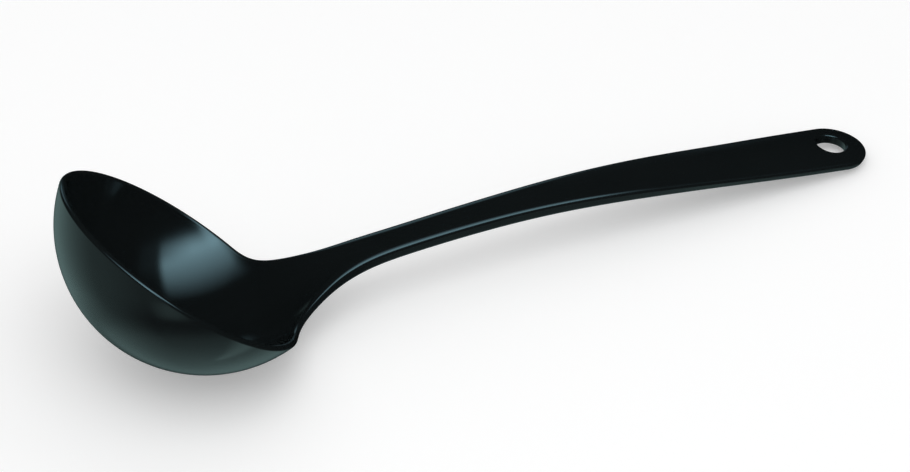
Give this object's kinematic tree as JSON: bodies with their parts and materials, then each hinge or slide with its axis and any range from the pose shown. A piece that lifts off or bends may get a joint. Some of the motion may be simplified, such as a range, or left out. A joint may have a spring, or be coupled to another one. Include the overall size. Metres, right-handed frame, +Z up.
{
  "type": "soup ladle",
  "caption": "Black plastic soup ladle with a round bowl tilted towards a flat arched strap handle that has a hanging hole in its rounded end.",
  "frame": {"origin": "middle of the ladle's footprint, on the table it lies on", "axes": "+X along the handle towards its tip, +Y across the handle, +Z up from the table"},
  "size_m": [0.3035, 0.0946, 0.0688],
  "materials": {
    "black_plastic": "satin to gloss, moulded"
  },
  "bodies": {
    "root": {"bowl": "black_plastic", "handle": "black_plastic"}
  },
  "joints": []
}
